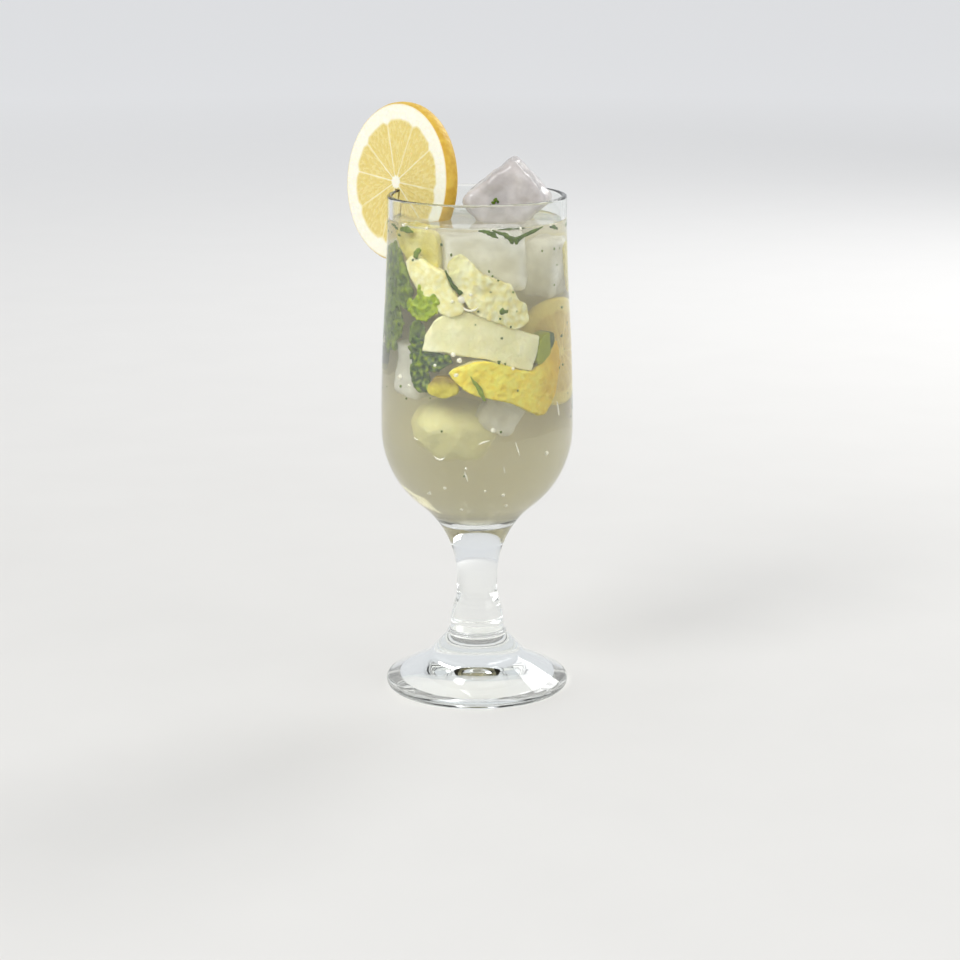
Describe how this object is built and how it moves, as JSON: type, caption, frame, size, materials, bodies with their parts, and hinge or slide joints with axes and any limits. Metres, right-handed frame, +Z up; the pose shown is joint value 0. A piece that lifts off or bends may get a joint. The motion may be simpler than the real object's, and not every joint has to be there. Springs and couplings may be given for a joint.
{
  "type": "glass of mojito",
  "caption": "Stemmed pilsner glass filled with a cloudy mojito, an ice cube standing out of the drink and a lemon wheel slit over the rim.",
  "frame": {"origin": "centre of the ring that the foot stands on", "axes": "+Z up along the axis of the glass; -Y faces the viewer, with the lemon wheel at -X +Y"},
  "size_m": [0.0834, 0.073, 0.215],
  "materials": {
    "clear_glass": "clear polished glass",
    "drink": "cloudy pale liquid",
    "lemon": "moist lemon flesh, pith and peel",
    "ice": "frosty melting ice",
    "mint": "fresh wet leaf",
    "fruit": "wet fruit flesh and peel"
  },
  "bodies": {
    "root": {"glass": "clear_glass", "drink": "drink", "lemon_slice": "lemon", "ice_cube": "ice"}
  },
  "joints": []
}
